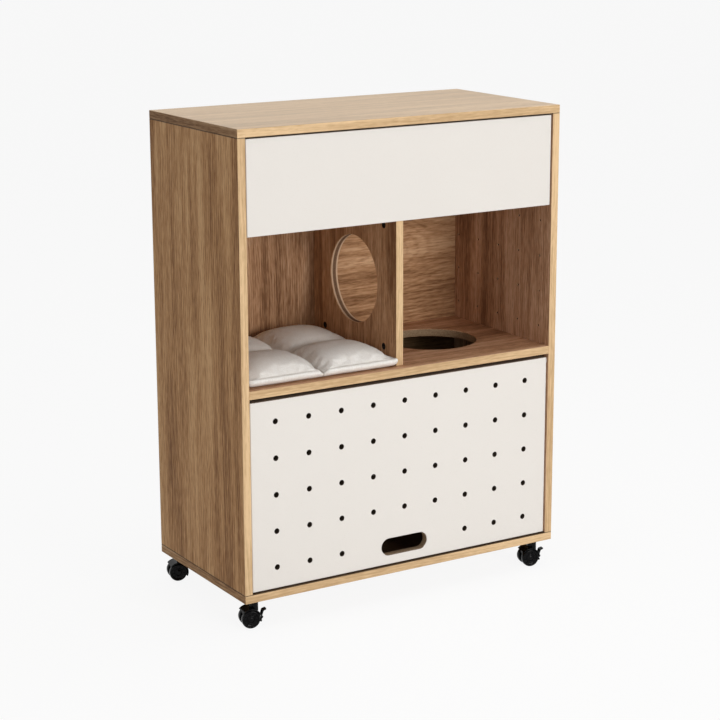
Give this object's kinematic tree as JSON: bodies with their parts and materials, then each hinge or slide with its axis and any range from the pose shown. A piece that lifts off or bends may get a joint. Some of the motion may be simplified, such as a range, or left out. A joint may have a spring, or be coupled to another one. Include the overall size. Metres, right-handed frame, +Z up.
{
  "type": "litter box enclosure",
  "caption": "Oak-look cat cabinet on casters: a wide drawer above, two open compartments with round passages, and a litter compartment behind a perforated flap door.",
  "frame": {"origin": "on the floor, under the middle of the carcass", "axes": "+Z up, +Y from the open front to the back, +X to the right as seen from the front"},
  "size_m": [0.8, 0.4, 1.062],
  "materials": {
    "wood_boards": "matt oak decor",
    "white_fronts": "matt off-white decor",
    "drawer_boards": "matt oak decor",
    "dowel_wood": "raw beech",
    "zinc": "zinc plated",
    "runner_steel": "bright zinc plated",
    "catch_plastic": "matt moulded",
    "magnet": "dull ferrite",
    "cushion_fabric": "plain woven cotton",
    "caster_steel": "black zinc plated",
    "caster_plastic": "gloss moulded",
    "caster_tread": "satin moulded"
  },
  "bodies": {
    "cabinet": {"top_panel": "wood_boards", "bottom_panel": "wood_boards", "left_side_panel": "wood_boards", "right_side_panel": "wood_boards", "middle_shelf": "wood_boards", "drawer_shelf": "wood_boards", "divider": "wood_boards", "litter_back_panel": "wood_boards", "left_back_panel": "wood_boards", "right_back_panel": "wood_boards", "drawer_back_panel": "wood_boards", "cam_locks": "zinc", "cam_bolts": "zinc", "dowels": "dowel_wood", "back_screws": "zinc", "left_outer_rail": "runner_steel", "right_outer_rail": "runner_steel", "outer_rail_screws": "zinc", "door_bushes": "catch_plastic", "door_catches": "catch_plastic", "catch_magnets": "magnet", "catch_screws": "zinc", "cushion": "cushion_fabric", "caster_plates": "caster_steel", "caster_screws": "zinc"},
    "drawer": {"drawer_front": "white_fronts", "drawer_left_side": "drawer_boards", "drawer_right_side": "drawer_boards", "drawer_back": "drawer_boards", "drawer_tray": "drawer_boards", "drawer_dowels": "dowel_wood", "drawer_box_screws": "zinc", "drawer_tray_screws": "zinc", "left_inner_rail": "runner_steel", "right_inner_rail": "runner_steel", "inner_rail_screws": "zinc"},
    "runner_cages": {"left_ball_cage": "runner_steel", "right_ball_cage": "runner_steel", "runner_balls": "runner_steel"},
    "door": {"door_panel": "white_fronts", "door_pins": "runner_steel", "strike_plates": "zinc", "strike_screws": "zinc"},
    "caster_front_left": {"caster_hood_front_left": "caster_plastic"},
    "wheels_front_left": {"caster_wheels_front_left": "caster_tread", "caster_axle_front_left": "caster_steel"},
    "pedal_front_left": {"brake_pedal_front_left": "caster_plastic"},
    "caster_front_right": {"caster_hood_front_right": "caster_plastic"},
    "wheels_front_right": {"caster_wheels_front_right": "caster_tread", "caster_axle_front_right": "caster_steel"},
    "pedal_front_right": {"brake_pedal_front_right": "caster_plastic"},
    "caster_rear_left": {"caster_hood_rear_left": "caster_plastic"},
    "wheels_rear_left": {"caster_wheels_rear_left": "caster_tread", "caster_axle_rear_left": "caster_steel"},
    "caster_rear_right": {"caster_hood_rear_right": "caster_plastic"},
    "wheels_rear_right": {"caster_wheels_rear_right": "caster_tread", "caster_axle_rear_right": "caster_steel"}
  },
  "joints": [
    {"name": "drawer_slide", "type": "slide", "parent": "cabinet", "child": "drawer", "axis": [0, -1, 0], "range_m": [0, 0.24]},
    {"name": "cage_slide", "type": "slide", "parent": "cabinet", "child": "runner_cages", "axis": [0, -1, 0], "range_m": [0, 0.12]},
    {"name": "door_flap", "type": "hinge", "parent": "cabinet", "child": "door", "pos_m": [0, -0.187, 0.487], "axis": [-1, 0, 0], "range_deg": [0, 100]},
    {"name": "swivel_front_left", "type": "hinge", "parent": "cabinet", "child": "caster_front_left", "pos_m": [-0.366, -0.172, 0.062], "axis": [0, 0, 1], "continuous": true},
    {"name": "roll_front_left", "type": "hinge", "parent": "caster_front_left", "child": "wheels_front_left", "pos_m": [-0.37578, -0.16992, 0.02], "axis": [-0.2079, -0.9781, 0], "continuous": true},
    {"name": "brake_front_left", "type": "hinge", "parent": "caster_front_left", "child": "pedal_front_left", "pos_m": [-0.35084, -0.17522, 0.02], "axis": [0.2079, 0.9781, 0], "range_deg": [0, 12]},
    {"name": "swivel_front_right", "type": "hinge", "parent": "cabinet", "child": "caster_front_right", "pos_m": [0.366, -0.172, 0.062], "axis": [0, 0, 1], "continuous": true},
    {"name": "roll_front_right", "type": "hinge", "parent": "caster_front_right", "child": "wheels_front_right", "pos_m": [0.35622, -0.16992, 0.02], "axis": [-0.2079, -0.9781, 0], "continuous": true},
    {"name": "brake_front_right", "type": "hinge", "parent": "caster_front_right", "child": "pedal_front_right", "pos_m": [0.38116, -0.17522, 0.02], "axis": [0.2079, 0.9781, 0], "range_deg": [0, 12]},
    {"name": "swivel_rear_left", "type": "hinge", "parent": "cabinet", "child": "caster_rear_left", "pos_m": [-0.366, 0.172, 0.062], "axis": [0, 0, 1], "continuous": true},
    {"name": "roll_rear_left", "type": "hinge", "parent": "caster_rear_left", "child": "wheels_rear_left", "pos_m": [-0.37578, 0.17408, 0.02], "axis": [-0.2079, -0.9781, 0], "continuous": true},
    {"name": "swivel_rear_right", "type": "hinge", "parent": "cabinet", "child": "caster_rear_right", "pos_m": [0.366, 0.172, 0.062], "axis": [0, 0, 1], "continuous": true},
    {"name": "roll_rear_right", "type": "hinge", "parent": "caster_rear_right", "child": "wheels_rear_right", "pos_m": [0.35622, 0.17408, 0.02], "axis": [-0.2079, -0.9781, 0], "continuous": true}
  ],
  "couplings": [
    {"joint": "cage_slide", "follows": "drawer_slide", "ratio": 0.5}
  ]
}
